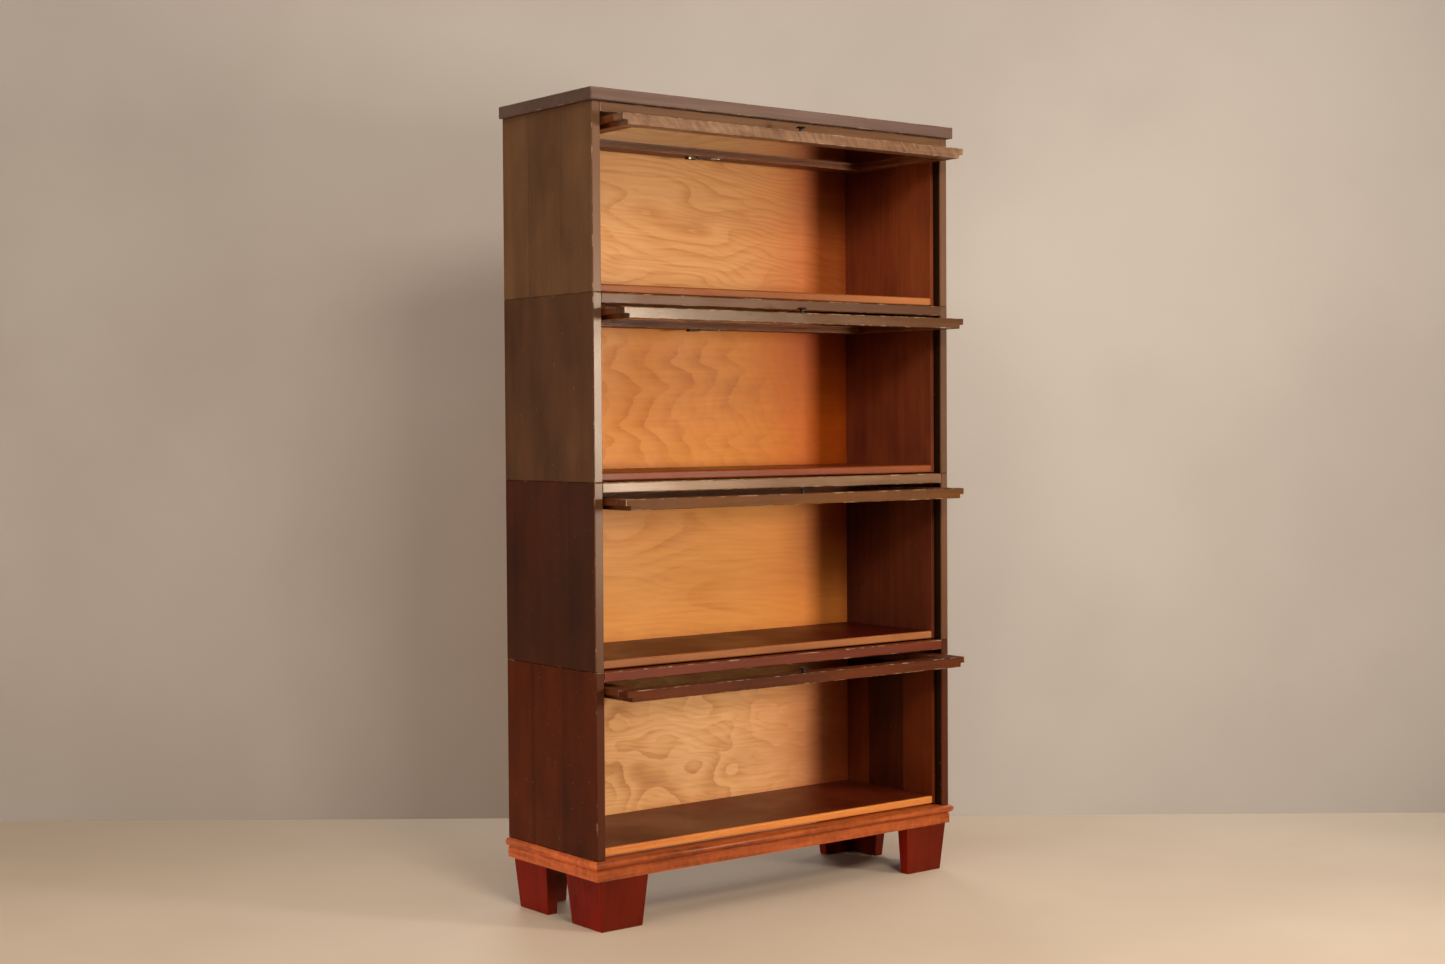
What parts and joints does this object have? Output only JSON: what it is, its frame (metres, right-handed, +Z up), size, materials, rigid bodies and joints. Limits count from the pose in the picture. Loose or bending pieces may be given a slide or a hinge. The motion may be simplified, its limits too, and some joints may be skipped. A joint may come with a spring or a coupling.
{
  "type": "barrister bookcase",
  "caption": "Tall stacking bookcase on tapered feet, with lift-and-slide glazed doors that push back over each shelf.",
  "frame": {"origin": "on the floor, at the middle of the bounding box in X and Y with the doors as pictured", "axes": "+Z up, +Y from the doors to the back, +X to the right seen from the front"},
  "size_m": [0.88, 0.359, 1.494],
  "materials": {
    "outside_wood": "aged dark varnish, worn on the edges",
    "inside_wood": "satin orange-brown varnish",
    "foot_wood": "red-brown varnish, chipped at the corners",
    "clear_glass": "clear",
    "steel": "dull plated steel",
    "dark_knob": "dark lacquered metal"
  },
  "bodies": {
    "case": {"cap": "outside_wood", "section_1_left_side": "outside_wood", "section_1_right_side": "outside_wood", "section_1_back_panel": "inside_wood", "section_1_shelf": "inside_wood", "section_1_front_rail": "outside_wood", "section_2_left_side": "outside_wood", "section_2_right_side": "outside_wood", "section_2_back_panel": "inside_wood", "section_2_shelf": "inside_wood", "section_2_front_rail": "outside_wood", "section_3_left_side": "outside_wood", "section_3_right_side": "outside_wood", "section_3_back_panel": "inside_wood", "section_3_shelf": "inside_wood", "section_3_front_rail": "outside_wood", "section_4_left_side": "outside_wood", "section_4_right_side": "outside_wood", "section_4_back_panel": "inside_wood", "section_4_shelf": "inside_wood", "section_4_front_rail": "outside_wood", "base_front_moulding": "outside_wood", "base_left_moulding": "outside_wood", "base_right_moulding": "outside_wood", "base_rear_rail": "outside_wood", "foot_front_left": "foot_wood", "foot_front_right": "foot_wood", "foot_rear_left": "foot_wood", "foot_rear_right": "foot_wood", "locating_dowels": "inside_wood"},
    "door_1": {"door_1_bottom_rail": "outside_wood", "door_1_top_rail": "outside_wood", "door_1_left_stile": "outside_wood", "door_1_right_stile": "outside_wood", "door_1_glass": "clear_glass", "door_1_knob": "dark_knob", "door_1_fittings": "steel"},
    "door_2": {"door_2_bottom_rail": "outside_wood", "door_2_top_rail": "outside_wood", "door_2_left_stile": "outside_wood", "door_2_right_stile": "outside_wood", "door_2_glass": "clear_glass", "door_2_knob": "dark_knob", "door_2_fittings": "steel"},
    "door_3": {"door_3_bottom_rail": "outside_wood", "door_3_top_rail": "outside_wood", "door_3_left_stile": "outside_wood", "door_3_right_stile": "outside_wood", "door_3_glass": "clear_glass", "door_3_knob": "dark_knob", "door_3_fittings": "steel"},
    "door_4": {"door_4_bottom_rail": "outside_wood", "door_4_top_rail": "outside_wood", "door_4_left_stile": "outside_wood", "door_4_right_stile": "outside_wood", "door_4_glass": "clear_glass", "door_4_knob": "dark_knob", "door_4_fittings": "steel"}
  },
  "joints": [
    {"name": "door_1_slide", "type": "slide", "parent": "case", "child": "door_1", "axis": [0, -1, 0], "range_m": [-0.03, 0.227]},
    {"name": "door_2_slide", "type": "slide", "parent": "case", "child": "door_2", "axis": [0, -1, 0], "range_m": [-0.03, 0.227]},
    {"name": "door_3_slide", "type": "slide", "parent": "case", "child": "door_3", "axis": [0, -1, 0], "range_m": [-0.03, 0.227]},
    {"name": "door_4_slide", "type": "slide", "parent": "case", "child": "door_4", "axis": [0, -1, 0], "range_m": [-0.03, 0.227]}
  ]
}
